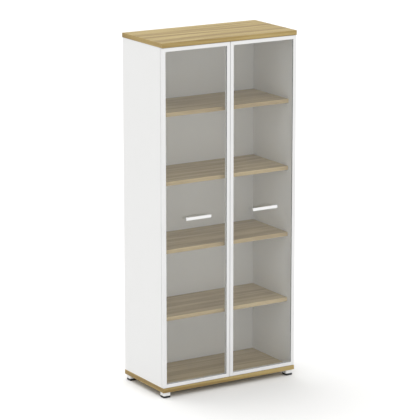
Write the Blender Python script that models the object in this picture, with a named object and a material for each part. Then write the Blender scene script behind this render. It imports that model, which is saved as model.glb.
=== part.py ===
"""Storage cabinet with two framed glass doors, four shelves and four levelling feet.

Metres, +Z up, the front faces -Y. The origin is on the floor, in the middle of the whole footprint,
which runs from the front of the handles to the back edge of the top panel.
"""
import math

import bmesh
import bpy
from mathutils import Matrix, Vector

# Boards of the body
CABINET_WIDTH = 0.850
CABINET_DEPTH = 0.426
BODY_HEIGHT = 1.874
OAK_BOARD = 0.025
SIDE_BOARD = 0.018
SHELF_BOARD = 0.022
BACK_BOARD = 0.008
SIDE_OVERHANG = 0.002
BACK_OVERHANG = 0.002
OAK_ARRIS = 0.001
BOARD_ARRIS = 0.0005
BACK_SETBACK = 0.012
GROOVE_DEPTH = 0.008

# Clearances that every seat shares
SEAT_GAP = 0.0003
OVERRUN = 0.001

# Shelves and what carries them
SHELVES = ("shelf_1", "shelf_2_fixed", "shelf_3", "shelf_4")
FIXED_SHELF = "shelf_2_fixed"
FLOOR_ROOM_EXTRA = 0.0105
TOP_ROOM_EXTRA = 0.005
SHELF_SETBACK = 0.022
SHELF_END_GAP = 0.001
SHELF_BACK_GAP = 0.0015
PIN_RADIUS = 0.0025
PIN_SHAFT = 0.008
PIN_LEDGE = 0.009
PIN_LEDGE_RADIUS = 0.0045
PIN_FLAT = 0.0028
PIN_NOSE = 0.0006
PIN_COLUMN_INSET = 0.037
PIN_ROW_PITCH = 0.032
PIN_ROWS = (-1, 0, 1)
DOWEL_RADIUS = 0.004
DOWEL_REACH = 0.010
DOWEL_INSET = 0.060

# Door frames
DOOR_SETBACK = 0.001
DOOR_GAP = 0.002
DOOR_BACK_GAP = 0.002
MEETING_GAP = 0.003
FRAME_WIDTH = 0.020
FRAME_DEPTH = 0.020
FRAME_LIP = 0.0015
FRAME_ARRIS = 0.0007
HINGE_CORNER_RADIUS = 0.003
CHAMBER_WALL = 0.0018
CHAMBER = 0.0094
GLASS_THICKNESS = 0.004
GLASS_COVER = 0.008
GLASS_EDGE_GAP = 0.0005
GASKET_THICKNESS = 0.001
CLEAT_LEG = 0.028

# Pivots of the doors
PIVOT_RADIUS = 0.003
PIVOT_REACH = 0.0095
SHOULDER_RADIUS = 0.005
BUSH_WALL = 0.0022
BUSH_FLOOR = 0.0018
BUSH_LENGTH = 0.012

# Handles
HANDLE_LENGTH = 0.156
HANDLE_HEIGHT = 0.016
HANDLE_STAND = 0.025
HANDLE_BAR = 0.007
HANDLE_CENTRES = 0.128
HANDLE_POST_RADIUS = 0.0045
HANDLE_ARRIS = 0.0008
HANDLE_SCREW_RADIUS = 0.002
HANDLE_SCREW_HEAD = 0.0025
HANDLE_HEAD_RADIUS = 0.0045

# Magnetic catch and its striker plates
CATCH_WIDTH = 0.048
CATCH_HEIGHT = 0.014
CATCH_DEPTH = 0.0135
CATCH_ARRIS = 0.0008
POLE_HEIGHT = 0.0016
POLE_STAND = 0.0005
POLE_SPREAD = 0.006
STRIKER_WIDTH = 0.016
STRIKER_HEIGHT = 0.012
STRIKER_THICKNESS = 0.001
STRIKER_CORNER = 0.002
STRIKER_INSET = 0.003
STRIKER_HOLE_RADIUS = 0.0016

# Levelling feet
FOOT_SIZE = 0.044
FOOT_HEIGHT = 0.032
FOOT_INSET = 0.006
FOOT_CORNER = 0.008
PAD_HEIGHT = 0.0115
PAD_EDGE = 0.002
PAD_FLOOR = 0.003
PAD_WALL = 0.002
PAD_BOSS_RADIUS = 0.008
PAD_POCKET_FLOOR = 0.006
PAD_TOP_GAP = 0.0007
SLEEVE_WALL = 0.002
SLEEVE_PLATE = 0.0025
SLEEVE_ARRIS = 0.0004
LEVEL_SCREW_RADIUS = 0.004
LEVEL_SCREW_FOOT_GAP = 0.002
COLLAR_RADIUS = 0.0075
COLLAR_HEIGHT = 0.0044
KEY_FLATS = 0.005
KEY_DEPTH = 0.003
ACCESS_RADIUS = 0.0036
FIXING_RADIUS = 0.002
FIXING_REACH = 0.012
FIXING_SPREAD = 0.012

# Facets
ARC_STEPS = 3
ROUND_SIDES = 18
SMALL_SIDES = 12
SMOOTH_ANGLE = math.radians(50)

# Places that follow from the sizes above
FRONT = -(CABINET_DEPTH + DOOR_SETBACK - HANDLE_STAND) / 2
BACK = FRONT + CABINET_DEPTH
BASE_TOP = FOOT_HEIGHT + OAK_BOARD
BODY_TOP = BASE_TOP + BODY_HEIGHT
SIDE_OUTER = CABINET_WIDTH / 2 - SIDE_OVERHANG
SIDE_INNER = SIDE_OUTER - SIDE_BOARD
DOOR_FRONT = FRONT + DOOR_SETBACK
DOOR_BACK = DOOR_FRONT + FRAME_DEPTH
SIDE_FRONT = DOOR_BACK + DOOR_BACK_GAP
SIDE_BACK = BACK - BACK_OVERHANG
BACK_PANEL_REAR = SIDE_BACK - BACK_SETBACK
BACK_PANEL_FRONT = BACK_PANEL_REAR - BACK_BOARD
DOOR_BOTTOM = BASE_TOP + DOOR_GAP
DOOR_TOP = BODY_TOP - DOOR_GAP
DOOR_WIDTH = SIDE_OUTER - MEETING_GAP / 2
CHAMBER_MIDDLE = CHAMBER_WALL + CHAMBER / 2
CHAMBER_FRONT = FRAME_DEPTH - CHAMBER_WALL - CHAMBER
PIVOT_X = SIDE_OUTER - CHAMBER_MIDDLE
PIVOT_Y = DOOR_BACK - CHAMBER_MIDDLE
FOOT_X = CABINET_WIDTH / 2 - FOOT_INSET - FOOT_SIZE / 2
FOOT_FRONT_Y = FRONT + FOOT_INSET + FOOT_SIZE / 2
FOOT_BACK_Y = BACK - FOOT_INSET - FOOT_SIZE / 2
SHELF_FRONT = SIDE_FRONT + SHELF_SETBACK
SHELF_BACK = BACK_PANEL_FRONT - SHELF_BACK_GAP
PIN_FRONT_Y = SIDE_FRONT + PIN_COLUMN_INSET
PIN_BACK_Y = BACK_PANEL_FRONT - PIN_COLUMN_INSET
LOOSE_SHELVES = tuple(name for name in SHELVES if name != FIXED_SHELF)
BOARD_TOTAL = len(SHELVES) * SHELF_BOARD
ROOM = (BODY_HEIGHT - BOARD_TOTAL - FLOOR_ROOM_EXTRA - TOP_ROOM_EXTRA) / (len(SHELVES) + 1)

# Finishes: colour, roughness and metallic value
OAK = ((0.50, 0.38, 0.20), 0.5, 0.0)
WHITE_BOARD = ((0.80, 0.80, 0.79), 0.45, 0.0)
WHITE_METAL = ((0.82, 0.82, 0.81), 0.3, 0.0)
CLEAR_GLASS = ((0.75, 0.77, 0.76), 0.05, 0.0)
DARK_RUBBER = ((0.10, 0.10, 0.10), 0.7, 0.0)
BLACK_PLASTIC = ((0.015, 0.015, 0.015), 0.5, 0.0)
GREY_PLASTIC = ((0.55, 0.55, 0.55), 0.5, 0.0)
ZINC = ((0.55, 0.55, 0.56), 0.35, 1.0)


def clear_scene():
    for old in list(bpy.data.objects):
        bpy.data.objects.remove(old, do_unlink=True)


def coat(obj, finish):
    """Give the piece its own Principled material."""
    colour, roughness, metallic = finish
    material = bpy.data.materials.new(obj.name + "_finish")
    material.use_nodes = True
    shader = material.node_tree.nodes["Principled BSDF"]
    shader.inputs["Base Color"].default_value = (*colour, 1.0)
    shader.inputs["Roughness"].default_value = roughness
    shader.inputs["Metallic"].default_value = metallic
    material.diffuse_color = (*colour, 1.0)
    obj.data.materials.clear()
    obj.data.materials.append(material)


def to_object(name, bm):
    bmesh.ops.recalc_face_normals(bm, faces=bm.faces)
    mesh = bpy.data.meshes.new(name)
    bm.to_mesh(mesh)
    bm.free()
    obj = bpy.data.objects.new(name, mesh)
    bpy.context.scene.collection.objects.link(obj)
    return obj


def shade_round(obj):
    obj.data.shade_smooth()
    obj.data.set_sharp_from_angle(angle=SMOOTH_ANGLE)
    return obj


def block(name, low, high, arris=0.0):
    """A board or bar between two corners, with its edges eased."""
    low = Vector(low)
    high = Vector(high)
    bm = bmesh.new()
    bmesh.ops.create_cube(bm, size=1.0)
    bmesh.ops.scale(bm, vec=high - low, verts=bm.verts)
    bmesh.ops.translate(bm, vec=(low + high) / 2, verts=bm.verts)
    if arris:
        ease(bm, bm.edges[:], arris)
    return to_object(name, bm)


def ease(bm, edges, width):
    bmesh.ops.bevel(bm, geom=edges, offset=width, offset_type="OFFSET", segments=2, profile=0.5,
                    affect="EDGES", clamp_overlap=True, material=-1)


def filleted(corners):
    """Outline points from (x, y, radius) corners, each corner turned into an arc of its radius."""
    points = []
    count = len(corners)
    for i, (x, y, radius) in enumerate(corners):
        here = Vector((x, y))
        if not radius:
            points.append(here)
            continue
        before = (Vector(corners[i - 1][:2]) - here).normalized()
        after = (Vector(corners[(i + 1) % count][:2]) - here).normalized()
        half = before.angle(after) / 2
        centre = here + (before + after).normalized() * (radius / math.sin(half))
        start = here + before * (radius / math.tan(half)) - centre
        sweep = start.angle_signed(here + after * (radius / math.tan(half)) - centre)
        for step in range(ARC_STEPS + 1):
            turned = start.copy()
            turned.rotate(Matrix.Rotation(-sweep * step / ARC_STEPS, 2))
            points.append(centre + turned)
    return points


def rounded_square(size, radius):
    return rounded_oblong(size, size, radius)


def rounded_oblong(width, height, radius):
    corners = [(-width, -height), (width, -height), (width, height), (-width, height)]
    return filleted([(x / 2, y / 2, radius) for x, y in corners])


def prism_bmesh(outline, low, high):
    """An outline in X and Y, extruded from one height to another."""
    bm = bmesh.new()
    face = bm.faces.new([bm.verts.new((point[0], point[1], low)) for point in outline])
    moved = bmesh.ops.extrude_face_region(bm, geom=[face])
    top = [item for item in moved["geom"] if isinstance(item, bmesh.types.BMVert)]
    bmesh.ops.translate(bm, vec=(0, 0, high - low), verts=top)
    return bm


def prism(name, outline, low, high):
    return to_object(name, prism_bmesh(outline, low, high))


def rod(name, radius, start, end, sides=SMALL_SIDES):
    """A round bar between two points."""
    start = Vector(start)
    end = Vector(end)
    bm = bmesh.new()
    bmesh.ops.create_cone(bm, cap_ends=True, segments=sides, radius1=radius, radius2=radius,
                          depth=(end - start).length)
    turn = Vector((0, 0, 1)).rotation_difference(end - start).to_matrix().to_4x4()
    bmesh.ops.transform(bm, matrix=Matrix.Translation((start + end) / 2) @ turn, verts=bm.verts)
    return shade_round(to_object(name, bm))


def turned(name, profile, sides=ROUND_SIDES):
    """A profile of (radius, height) points, turned about Z, that starts and ends on the axis."""
    bm = bmesh.new()
    ring = [bm.verts.new((radius, 0, height)) for radius, height in profile]
    edges = [bm.edges.new(pair) for pair in zip(ring, ring[1:])]
    bmesh.ops.spin(bm, geom=ring + edges, cent=(0, 0, 0), axis=(0, 0, 1), angle=math.tau, steps=sides,
                   use_merge=True)
    bmesh.ops.remove_doubles(bm, verts=bm.verts, dist=SEAT_GAP / ROUND_SIDES)
    return shade_round(to_object(name, bm))


def combine(name, pieces):
    """Several separate cutters as one object."""
    bm = bmesh.new()
    for piece in pieces:
        bm.from_mesh(piece.data)
        bpy.data.objects.remove(piece, do_unlink=True)
    return to_object(name, bm)


def boolean(obj, other, operation):
    """Cut or join another solid, which stays as a hidden guide."""
    modifier = obj.modifiers.new(other.name, "BOOLEAN")
    modifier.operation = operation
    modifier.solver = "EXACT"
    modifier.object = other
    other.hide_render = True
    other.hide_set(True)
    other.display_type = "WIRE"


def baked(obj):
    """The piece's mesh with its cuts and joins worked in, so that copies can share it."""
    graph = bpy.context.evaluated_depsgraph_get()
    mesh = bpy.data.meshes.new_from_object(obj.evaluated_get(graph))
    mesh.name = obj.name
    guides = [modifier.object for modifier in obj.modifiers]
    bpy.data.objects.remove(obj, do_unlink=True)
    for guide in guides:
        bpy.data.objects.remove(guide, do_unlink=True)
    return mesh


def copy_of(mesh, name, location, finish, turn=0.0):
    obj = bpy.data.objects.new(name, mesh.copy())
    obj.location = location
    obj.rotation_euler = (0, 0, turn)
    bpy.context.scene.collection.objects.link(obj)
    coat(obj, finish)
    return shade_round(obj)


def pivot_empty(name, location):
    empty = bpy.data.objects.new(name, None)
    empty.location = location
    bpy.context.scene.collection.objects.link(empty)
    return empty


def hang_on(empty, pieces):
    """Parent pieces that were built in place to the empty on their joint's axis."""
    for piece in pieces:
        piece.parent = empty
        piece.location = piece.location - empty.location


def shelf_top(name):
    """Height of a shelf's top face; the shelves are listed from below."""
    return BASE_TOP + FLOOR_ROOM_EXTRA + (SHELVES.index(name) + 1) * (ROOM + SHELF_BOARD)


def pin_axis_height(name):
    return shelf_top(name) - SHELF_BOARD - SEAT_GAP - PIN_FLAT


def dowel_rows():
    """Places of the dowels along the depth of a side board."""
    return (SIDE_FRONT + DOWEL_INSET, (SIDE_FRONT + SIDE_BACK) / 2, SIDE_BACK - DOWEL_INSET)


def shelf_dowel_rows():
    return (SHELF_FRONT + DOWEL_INSET, SHELF_BACK - DOWEL_INSET)


def corners_of_feet():
    return [(side, end, x, y)
            for side, x in (("left", -FOOT_X), ("right", FOOT_X))
            for end, y in (("front", FOOT_FRONT_Y), ("back", FOOT_BACK_Y))]


def dowel_sockets(panel_face, inward):
    """Blind holes in the top or base panel for the dowels of both side boards."""
    reach = inward * (DOWEL_REACH + SEAT_GAP)
    sockets = []
    for x in (-SIDE_INNER - SIDE_BOARD / 2, SIDE_INNER + SIDE_BOARD / 2):
        for y in dowel_rows():
            sockets.append(rod("socket", DOWEL_RADIUS + SEAT_GAP, (x, y, panel_face - inward * OVERRUN),
                               (x, y, panel_face + reach)))
    return sockets


def bush_sockets(panel_face, inward):
    outer = PIVOT_RADIUS + SEAT_GAP + BUSH_WALL + SEAT_GAP
    reach = inward * (BUSH_LENGTH + SEAT_GAP)
    return [rod("socket", outer, (x, PIVOT_Y, panel_face - inward * OVERRUN),
                (x, PIVOT_Y, panel_face + reach), ROUND_SIDES) for x in (-PIVOT_X, PIVOT_X)]


def make_top_panel():
    top = block("top_panel", (-CABINET_WIDTH / 2, FRONT, BODY_TOP),
                (CABINET_WIDTH / 2, BACK, BODY_TOP + OAK_BOARD), OAK_ARRIS)
    holes = combine("top_holes", dowel_sockets(BODY_TOP, 1) + bush_sockets(BODY_TOP, 1))
    boolean(top, holes, "DIFFERENCE")
    coat(top, OAK)


def foot_holes():
    """Pocket for each levelling screw's collar, the key's way to it, and the sleeve's fixing holes."""
    holes = []
    for _, _, x, y in corners_of_feet():
        holes.append(collar_pocket(x, y))
        for sign in (-1, 1):
            spot = (x + sign * FIXING_SPREAD, y - sign * FIXING_SPREAD)
            holes.append(rod("fixing", FIXING_RADIUS + SEAT_GAP, (*spot, FOOT_HEIGHT - OVERRUN),
                             (*spot, FOOT_HEIGHT + FIXING_REACH + SEAT_GAP)))
    return holes


def collar_pocket(x, y):
    pocket = COLLAR_RADIUS + SEAT_GAP
    ceiling = FOOT_HEIGHT + COLLAR_HEIGHT + 2 * SEAT_GAP
    hole = turned("pocket", [(0, FOOT_HEIGHT - OVERRUN), (pocket, FOOT_HEIGHT - OVERRUN), (pocket, ceiling),
                             (ACCESS_RADIUS, ceiling), (ACCESS_RADIUS, BASE_TOP + OVERRUN),
                             (0, BASE_TOP + OVERRUN)])
    hole.data.transform(Matrix.Translation((x, y, 0)))
    return hole


def make_base_panel():
    base = block("base_panel", (-CABINET_WIDTH / 2, FRONT, FOOT_HEIGHT), (CABINET_WIDTH / 2, BACK, BASE_TOP),
                 OAK_ARRIS)
    holes = combine("base_holes", dowel_sockets(BASE_TOP, -1) + bush_sockets(BASE_TOP, -1) + foot_holes())
    boolean(base, holes, "DIFFERENCE")
    coat(base, OAK)


def make_side_panel(side, sign):
    """Board with the back panel's groove in its section, shelf holes, and dowels glued in its ends."""
    inner = sign * SIDE_INNER
    outer = sign * SIDE_OUTER
    groove = sign * (SIDE_INNER + GROOVE_DEPTH)
    groove_front = BACK_PANEL_FRONT - SEAT_GAP
    groove_back = BACK_PANEL_REAR + SEAT_GAP
    outline = filleted([
        (inner, SIDE_FRONT, BOARD_ARRIS), (outer, SIDE_FRONT, BOARD_ARRIS), (outer, SIDE_BACK, BOARD_ARRIS),
        (inner, SIDE_BACK, BOARD_ARRIS), (inner, groove_back, 0), (groove, groove_back, 0),
        (groove, groove_front, 0), (inner, groove_front, 0)])
    panel = prism("side_panel_" + side, outline, BASE_TOP + SEAT_GAP, BODY_TOP - SEAT_GAP)
    boolean(panel, combine("side_holes_" + side, shelf_holes(sign)), "DIFFERENCE")
    boolean(panel, combine("side_dowels_" + side, end_dowels(sign)), "UNION")
    coat(panel, WHITE_BOARD)


def shelf_holes(sign):
    """Blind holes in a side board: pin rows round each loose shelf and dowel holes for the fixed one."""
    start = sign * (SIDE_INNER - OVERRUN)
    pin_end = sign * (SIDE_INNER + PIN_SHAFT + SEAT_GAP)
    dowel_end = sign * (SIDE_INNER + DOWEL_REACH + SEAT_GAP)
    holes = []
    for name in LOOSE_SHELVES:
        for row in PIN_ROWS:
            for y in (PIN_FRONT_Y, PIN_BACK_Y):
                height = pin_axis_height(name) + row * PIN_ROW_PITCH
                holes.append(rod("pin_hole", PIN_RADIUS + SEAT_GAP, (start, y, height),
                                 (pin_end, y, height)))
    height = shelf_top(FIXED_SHELF) - SHELF_BOARD / 2
    for y in shelf_dowel_rows():
        holes.append(rod("dowel_hole", DOWEL_RADIUS + SEAT_GAP, (start, y, height),
                         (dowel_end, y, height)))
    return holes


def end_dowels(sign):
    x = sign * (SIDE_INNER + SIDE_BOARD / 2)
    dowels = []
    for y in dowel_rows():
        for face, outward in ((BASE_TOP, -1), (BODY_TOP, 1)):
            dowels.append(rod("dowel", DOWEL_RADIUS, (x, y, face - outward * DOWEL_REACH),
                              (x, y, face + outward * DOWEL_REACH)))
    return dowels


def make_back_panel():
    half = SIDE_INNER + GROOVE_DEPTH - SEAT_GAP
    back = block("back_panel", (-half, BACK_PANEL_FRONT, BASE_TOP + SEAT_GAP),
                 (half, BACK_PANEL_REAR, BODY_TOP - SEAT_GAP))
    coat(back, WHITE_BOARD)


def make_shelf(name, end_gap):
    half = SIDE_INNER - end_gap
    top = shelf_top(name)
    shelf = block(name, (-half, SHELF_FRONT, top - SHELF_BOARD), (half, SHELF_BACK, top), BOARD_ARRIS)
    coat(shelf, OAK)
    return shelf


def make_shelves():
    """Loose shelves with room at their ends, and the fixed one with dowels glued in."""
    for name in LOOSE_SHELVES:
        make_shelf(name, SHELF_END_GAP)
    fixed = make_shelf(FIXED_SHELF, SEAT_GAP)
    height = shelf_top(FIXED_SHELF) - SHELF_BOARD / 2
    dowels = [rod("dowel", DOWEL_RADIUS, (sign * (SIDE_INNER - DOWEL_REACH), y, height),
                  (sign * (SIDE_INNER + DOWEL_REACH), y, height))
              for sign in (-1, 1) for y in shelf_dowel_rows()]
    boolean(fixed, combine("shelf_dowels", dowels), "UNION")


def make_shelf_pins():
    """One pin: a round shaft for the board's hole and a ledge with a flat top under the shelf."""
    flat_angle = math.asin(PIN_FLAT / PIN_LEDGE_RADIUS)
    sweep = math.pi + 2 * flat_angle
    outline = []
    for step in range(SMALL_SIDES + 1):
        angle = math.pi - flat_angle + sweep * step / SMALL_SIDES
        outline.append((PIN_LEDGE_RADIUS * math.cos(angle), PIN_LEDGE_RADIUS * math.sin(angle)))
    bm = prism_bmesh(outline, SEAT_GAP, SEAT_GAP + PIN_LEDGE)
    nose = [edge for edge in bm.edges if min(vert.co.z for vert in edge.verts) > PIN_LEDGE / 2]
    ease(bm, nose, PIN_NOSE)
    upright = Matrix(((0, 0, 1, 0), (1, 0, 0, 0), (0, 1, 0, 0), (0, 0, 0, 1)))
    bmesh.ops.transform(bm, matrix=upright, verts=bm.verts)
    ledge = to_object("shelf_pin", bm)
    shaft = rod("pin_shaft", PIN_RADIUS, (-PIN_SHAFT, 0, 0), (PIN_LEDGE / 2, 0, 0))
    boolean(ledge, shaft, "UNION")
    mesh = baked(ledge)
    for name in LOOSE_SHELVES:
        number = name.split("_")[1]
        for side, x, turn in (("left", -SIDE_INNER, 0.0), ("right", SIDE_INNER, math.pi)):
            for end, y in (("front", PIN_FRONT_Y), ("back", PIN_BACK_Y)):
                copy_of(mesh, f"shelf_pin_{number}_{side}_{end}", (x, y, pin_axis_height(name)), ZINC, turn)


class Member:
    """One bar of a door frame: its outer front edge's middle, its length, and its three directions."""

    def __init__(self, middle, length, along, inward):
        self.middle = Vector(middle)
        self.length = length
        self.along = Vector(along)
        self.inward = Vector(inward)
        self.backward = Vector((0, 1, 0))

    def point(self, inset, depth, run):
        return self.middle + self.inward * inset + self.backward * depth + self.along * run

    def block(self, name, insets, depths, runs):
        one = self.point(insets[0], depths[0], runs[0])
        two = self.point(insets[1], depths[1], runs[1])
        low = [min(pair) for pair in zip(one, two)]
        high = [max(pair) for pair in zip(one, two)]
        return block(name, low, high)

    def bar(self, name, outline, mitre_gap):
        """The frame section extruded along the member and mitred at both ends."""
        half = self.length / 2
        bm = prism_bmesh(outline, -half, half)
        for vert in bm.verts:
            inset, depth, run = vert.co
            end = math.copysign(half - inset - mitre_gap, run)
            vert.co = self.point(inset, depth, end)
        return to_object(name, bm)


def frame_outline(back_radius):
    """Section of the door frame: inset from its outer edge, then depth from its front."""
    groove_bottom = FRAME_WIDTH - GLASS_COVER
    groove_back = FRAME_LIP + GLASS_THICKNESS + GASKET_THICKNESS + 3 * SEAT_GAP
    return filleted([
        (0, 0, FRAME_ARRIS), (FRAME_WIDTH, 0, FRAME_ARRIS), (FRAME_WIDTH, FRAME_LIP, 0),
        (groove_bottom, FRAME_LIP, 0), (groove_bottom, groove_back, 0), (FRAME_WIDTH, groove_back, 0),
        (FRAME_WIDTH, FRAME_DEPTH, FRAME_ARRIS), (0, FRAME_DEPTH, back_radius)])


def door_members(sign):
    """The four bars of a door, seen as members of the frame; sign is -1 for the left door."""
    middle_z = (DOOR_BOTTOM + DOOR_TOP) / 2
    middle_x = sign * (SIDE_OUTER - DOOR_WIDTH / 2)
    height = DOOR_TOP - DOOR_BOTTOM
    return {
        "hinge_stile": Member((sign * SIDE_OUTER, DOOR_FRONT, middle_z), height, (0, 0, 1), (-sign, 0, 0)),
        "meeting_stile": Member((sign * MEETING_GAP / 2, DOOR_FRONT, middle_z), height, (0, 0, 1),
                                (sign, 0, 0)),
        "top_rail": Member((middle_x, DOOR_FRONT, DOOR_TOP), DOOR_WIDTH, (sign, 0, 0), (0, 0, -1)),
        "bottom_rail": Member((middle_x, DOOR_FRONT, DOOR_BOTTOM), DOOR_WIDTH, (sign, 0, 0), (0, 0, 1)),
    }


def make_stile(name, member, back_radius):
    stile = member.bar(name, frame_outline(back_radius), 0)
    half = member.length / 2 + OVERRUN
    chamber = member.block("chamber_" + name, (CHAMBER_WALL, CHAMBER_WALL + CHAMBER),
                           (CHAMBER_FRONT, CHAMBER_FRONT + CHAMBER), (-half, half))
    boolean(stile, chamber, "DIFFERENCE")
    coat(stile, WHITE_METAL)
    return stile


def make_rail(name, member):
    """Rail with a hollow for the pivot's cleat; its other end is filled by a cleat that enters the stile."""
    rail = member.bar(name, frame_outline(FRAME_ARRIS), SEAT_GAP)
    half = member.length / 2
    depths = (CHAMBER_FRONT, CHAMBER_FRONT + CHAMBER)
    chamber = member.block("chamber_" + name, (CHAMBER_WALL, CHAMBER_WALL + CHAMBER), depths,
                           (CLEAT_LEG - half, half + OVERRUN))
    pin_run = half - CHAMBER_MIDDLE
    pin_hole = rod("pin_way_" + name, PIVOT_RADIUS + SEAT_GAP,
                   member.point(-OVERRUN, CHAMBER_FRONT + CHAMBER / 2, pin_run),
                   member.point(CHAMBER_MIDDLE, CHAMBER_FRONT + CHAMBER / 2, pin_run), ROUND_SIDES)
    leg_near = CHAMBER_WALL + SEAT_GAP
    leg_far = CHAMBER_WALL + CHAMBER - SEAT_GAP
    leg = member.block("cleat_" + name, (leg_near, CLEAT_LEG), (depths[0] + SEAT_GAP, depths[1] - SEAT_GAP),
                       (leg_near - half, leg_far - half))
    boolean(rail, chamber, "DIFFERENCE")
    boolean(rail, pin_hole, "DIFFERENCE")
    boolean(rail, leg, "UNION")
    coat(rail, WHITE_METAL)
    return rail


def make_pivot(name, sign, edge_height, outward):
    """Corner cleat inside the hinge corner, in one piece with the pin and the shoulder the door turns on."""
    near = CHAMBER_WALL + SEAT_GAP
    far = CHAMBER_WALL + CHAMBER - SEAT_GAP
    bend = [(near, near), (CLEAT_LEG, near), (CLEAT_LEG, far), (far, far), (far, CLEAT_LEG),
            (near, CLEAT_LEG)]
    bm = prism_bmesh(bend, CHAMBER_FRONT + SEAT_GAP, CHAMBER_FRONT + CHAMBER - SEAT_GAP)
    for vert in bm.verts:
        across, down, depth = vert.co
        vert.co = (sign * (SIDE_OUTER - across), DOOR_FRONT + depth, edge_height - outward * down)
    cleat = to_object(name, bm)
    stem = near + PIVOT_RADIUS
    pin = turned("pin_" + name, [
        (0, -stem), (PIVOT_RADIUS, -stem), (PIVOT_RADIUS, SEAT_GAP), (SHOULDER_RADIUS, SEAT_GAP),
        (SHOULDER_RADIUS, DOOR_GAP - SEAT_GAP), (PIVOT_RADIUS, DOOR_GAP - SEAT_GAP),
        (PIVOT_RADIUS, DOOR_GAP + PIVOT_REACH), (0, DOOR_GAP + PIVOT_REACH)])
    if outward < 0:
        pin.data.transform(Matrix.Rotation(math.pi, 4, "X"))
    pin.data.transform(Matrix.Translation((sign * PIVOT_X, PIVOT_Y, edge_height)))
    boolean(cleat, pin, "UNION")
    coat(cleat, ZINC)
    return cleat


def make_bushes():
    """Plastic cups in the top and base panels that the doors' pins turn in."""
    bore = PIVOT_RADIUS + SEAT_GAP
    outer = bore + BUSH_WALL
    floor = BUSH_FLOOR - BUSH_LENGTH
    cup = turned("pivot_bush", [(0, -BUSH_LENGTH), (outer, -BUSH_LENGTH), (outer, 0), (bore, 0),
                                (bore, floor), (0, floor)])
    mesh = baked(cup)
    for side, sign in (("left", -1), ("right", 1)):
        copy_of(mesh, "pivot_bush_bottom_" + side, (sign * PIVOT_X, PIVOT_Y, BASE_TOP), GREY_PLASTIC)
        upper = copy_of(mesh, "pivot_bush_top_" + side, (sign * PIVOT_X, PIVOT_Y, BODY_TOP), GREY_PLASTIC)
        upper.rotation_euler = (math.pi, 0, 0)


def make_glass(name, sign, handle_spots):
    inset = FRAME_WIDTH - GLASS_COVER + GLASS_EDGE_GAP
    front = DOOR_FRONT + FRAME_LIP + SEAT_GAP
    inner = sign * (MEETING_GAP / 2 + inset)
    outer = sign * (SIDE_OUTER - inset)
    pane = block(name, (min(inner, outer), front, DOOR_BOTTOM + inset),
                 (max(inner, outer), front + GLASS_THICKNESS, DOOR_TOP - inset))
    holes = [rod("hole", HANDLE_SCREW_RADIUS + 2 * SEAT_GAP, (x, front - OVERRUN, z),
                 (x, front + GLASS_THICKNESS + OVERRUN, z)) for x, z in handle_spots]
    boolean(pane, combine("glass_holes_" + name, holes), "DIFFERENCE")
    coat(pane, CLEAR_GLASS)
    return pane


def make_gasket(name, sign):
    """Flat seal that presses the pane forward all round, inside the groove."""
    inset = FRAME_WIDTH - GLASS_COVER + GLASS_EDGE_GAP
    front = DOOR_FRONT + FRAME_LIP + GLASS_THICKNESS + 2 * SEAT_GAP
    bm = bmesh.new()
    bmesh.ops.create_grid(bm, x_segments=1, y_segments=1, size=0.5)
    width = DOOR_WIDTH - 2 * inset
    height = DOOR_TOP - DOOR_BOTTOM - 2 * inset
    bmesh.ops.scale(bm, vec=(width, height, 1), verts=bm.verts)
    pane = bm.faces[:]
    bmesh.ops.inset_region(bm, faces=pane, thickness=GLASS_COVER - GLASS_EDGE_GAP,
                           use_boundary=True, use_even_offset=True)
    bmesh.ops.delete(bm, geom=pane, context="FACES")
    moved = bmesh.ops.extrude_face_region(bm, geom=bm.faces[:])
    top = [item for item in moved["geom"] if isinstance(item, bmesh.types.BMVert)]
    bmesh.ops.translate(bm, vec=(0, 0, -GASKET_THICKNESS), verts=top)
    middle = (sign * (SIDE_OUTER - DOOR_WIDTH / 2), front, (DOOR_BOTTOM + DOOR_TOP) / 2)
    bmesh.ops.transform(bm, matrix=Matrix.Translation(middle) @ Matrix.Rotation(math.pi / 2, 4, "X"),
                        verts=bm.verts)
    gasket = to_object(name, bm)
    coat(gasket, DARK_RUBBER)
    return gasket


def make_handle(name, spots):
    """Bar handle: a flat bar on two round posts, each with its screw through the pane and a head behind."""
    glass_front = DOOR_FRONT + FRAME_LIP + SEAT_GAP
    middle_x = sum(x for x, _ in spots) / 2
    middle_z = spots[0][1]
    front = DOOR_FRONT - HANDLE_STAND
    foot = glass_front - SEAT_GAP
    handle = shade_round(block(
        name, (middle_x - HANDLE_LENGTH / 2, front, middle_z - HANDLE_HEIGHT / 2),
        (middle_x + HANDLE_LENGTH / 2, front + HANDLE_BAR, middle_z + HANDLE_HEIGHT / 2), HANDLE_ARRIS))
    root = front + HANDLE_BAR / 2
    head = glass_front + GLASS_THICKNESS + SEAT_GAP
    cap = head + HANDLE_SCREW_HEAD
    for number, (x, z) in enumerate(spots):
        post = turned(f"post_{number}_{name}", [
            (0, root), (HANDLE_POST_RADIUS, root), (HANDLE_POST_RADIUS, foot), (HANDLE_SCREW_RADIUS, foot),
            (HANDLE_SCREW_RADIUS, head), (HANDLE_HEAD_RADIUS, head), (HANDLE_HEAD_RADIUS, cap), (0, cap)])
        post.data.transform(Matrix.Rotation(-math.pi / 2, 4, "X"))
        post.data.transform(Matrix.Translation((x, 0, z)))
        boolean(handle, post, "UNION")
    coat(handle, WHITE_METAL)
    return handle


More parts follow.
